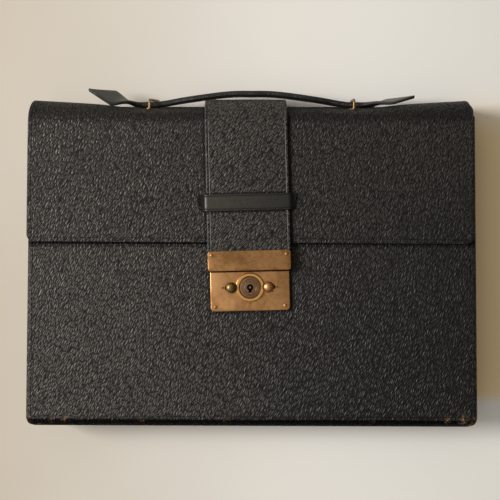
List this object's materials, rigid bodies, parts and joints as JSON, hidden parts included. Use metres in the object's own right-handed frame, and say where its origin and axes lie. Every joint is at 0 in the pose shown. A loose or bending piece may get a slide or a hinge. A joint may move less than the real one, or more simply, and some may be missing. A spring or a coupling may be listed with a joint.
{
  "type": "leather writing box",
  "caption": "Shallow leather-covered case with a flap over the top, a strap, a brass hasp lock and a slipping handle; holds paper and writing things.",
  "frame": {"origin": "centre of the flat back face, on the surface the case lies on", "axes": "+X to the right seen from the front, +Y from the bottom edge up to the handle, +Z out of the front"},
  "size_m": [0.355, 0.2733, 0.0473],
  "materials": {
    "leather": "black pebbled morocco, satin, worn at the edges",
    "leather_smooth": "smooth black-brown leather, satin",
    "handle_leather": "black layered leather with painted edges",
    "board": "matt millboard",
    "lining": "matt brown cloth",
    "brass": "aged satin brass with brown tarnish",
    "brass_bright": "rubbed brass",
    "steel": "plain steel"
  },
  "bodies": {
    "case": {"back_cover": "leather", "back_board": "board", "back_lining": "lining", "front_cover": "leather", "front_board": "board", "front_lining": "lining", "wall_cover": "leather", "left_wall_board": "board", "right_wall_board": "board", "bottom_wall_board": "board", "wall_lining": "lining", "divider": "board", "letter_pocket": "leather_smooth", "lock_plate": "brass", "lock_case": "steel", "lock_rivets": "brass_bright", "key_escutcheon": "brass", "key_post": "brass_bright", "lock_pins": "brass_bright", "left_spring": "steel", "right_spring": "steel"},
    "spine": {"spine_cover": "leather", "spine_board": "board", "spine_lining": "lining", "back_hinge_leather": "leather", "strap_spine": "leather", "left_handle_loop": "brass", "right_handle_loop": "brass", "loop_washers": "brass", "loop_burrs": "brass"},
    "flap": {"flap_cover": "leather", "flap_board": "board", "flap_lining": "lining", "crease_leather": "leather", "strap_flap": "leather", "strap_crease": "leather", "keeper": "leather_smooth", "hasp_plate": "brass", "hasp_back": "brass", "hasp_staples": "brass_bright", "hasp_rivets": "brass_bright"},
    "grip": {"handle_grip": "handle_leather", "left_handle_link": "handle_leather", "right_handle_link": "handle_leather"},
    "left_tab": {"left_handle_end": "handle_leather"},
    "right_tab": {"right_handle_end": "handle_leather"},
    "left_catch": {"left_stud": "brass_bright", "left_slider": "steel"},
    "right_catch": {"right_stud": "brass_bright", "right_slider": "steel"},
    "bolt": {"lock_bolt": "steel"}
  },
  "joints": [
    {"name": "spine_hinge", "type": "hinge", "parent": "case", "child": "spine", "pos_m": [0, 0.1305, 0.0005], "axis": [-1, 0, 0], "range_deg": [0, 45], "deforming": ["back_hinge_leather"]},
    {"name": "flap_hinge", "type": "hinge", "parent": "spine", "child": "flap", "pos_m": [0, 0.109, 0.0431], "axis": [-1, 0, 0], "range_deg": [0, 135], "deforming": ["crease_leather", "strap_crease"]},
    {"name": "handle_lift", "type": "slide", "parent": "spine", "child": "grip", "axis": [0, 1, 0], "range_m": [0, 0.0285], "deforming": ["left_handle_link", "right_handle_link"]},
    {"name": "left_tab_slide", "type": "slide", "parent": "grip", "child": "left_tab", "axis": [0.3881, -0.9216, 0], "range_m": [0, 0.031]},
    {"name": "right_tab_slide", "type": "slide", "parent": "grip", "child": "right_tab", "axis": [-0.3881, -0.9216, 0], "range_m": [0, 0.031]},
    {"name": "left_catch_slide", "type": "slide", "parent": "case", "child": "left_catch", "axis": [-0.9997, -0.0262, 0], "range_m": [0, 0.0035], "stiffness_N_per_m": 400, "springref_m": -0.002, "deforming": ["left_spring"]},
    {"name": "right_catch_slide", "type": "slide", "parent": "case", "child": "right_catch", "axis": [0.9997, 0.0262, 0], "range_m": [0, 0.0035], "stiffness_N_per_m": 400, "springref_m": -0.002, "deforming": ["right_spring"]},
    {"name": "lock_bolt_slide", "type": "slide", "parent": "case", "child": "bolt", "axis": [0.9997, 0.0262, 0], "range_m": [0, 0.004]}
  ],
  "couplings": [
    {"joint": "left_tab_slide", "follows": "handle_lift", "ratio": 1.085},
    {"joint": "right_tab_slide", "follows": "handle_lift", "ratio": 1.085}
  ]
}
